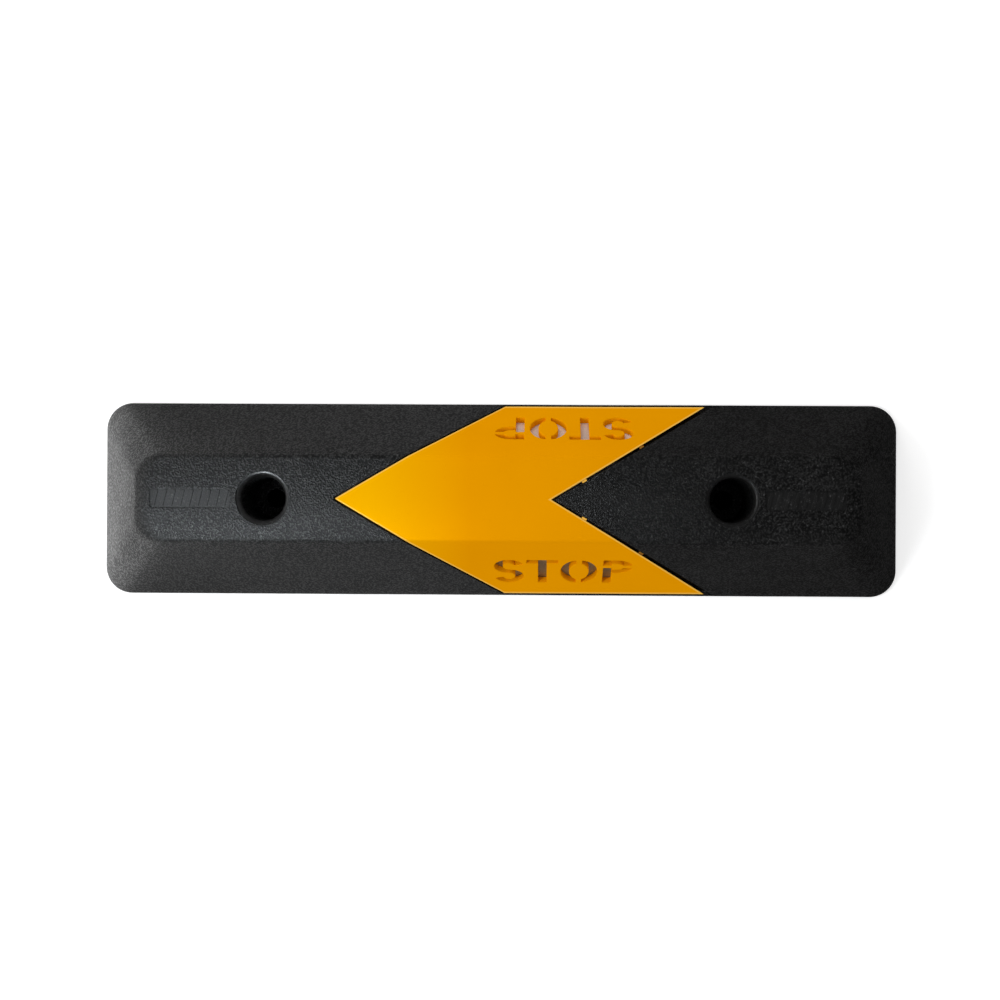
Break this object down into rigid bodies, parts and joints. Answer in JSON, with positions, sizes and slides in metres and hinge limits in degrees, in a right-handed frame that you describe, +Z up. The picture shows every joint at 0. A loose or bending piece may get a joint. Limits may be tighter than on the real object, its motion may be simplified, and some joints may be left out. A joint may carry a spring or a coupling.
{
  "type": "rubber parking wheel stop",
  "caption": "Low steep-sided rubber bar, bolted to the ground, that stops a car's wheels; a yellow chevron insert wraps over the top and has stencil lettering on both slopes.",
  "frame": {"origin": "middle of the base, on the ground", "axes": "+Z up; X along the bar, with the chevron pointing towards -X; +Y to the rear long side, whose lettering is read from +Y"},
  "size_m": [0.6, 0.145, 0.1],
  "materials": {
    "black_rubber": "fine leather grain, satin, with faint moulding smudges",
    "yellow_plastic": "smooth satin moulded plastic, traffic yellow",
    "reflective_film": "silver glass-bead reflective film with a fine speckle"
  },
  "bodies": {
    "root": {"body": "black_rubber", "chevron_insert": "yellow_plastic", "reflective_strip_front": "reflective_film", "reflective_strip_rear": "reflective_film"}
  },
  "joints": []
}
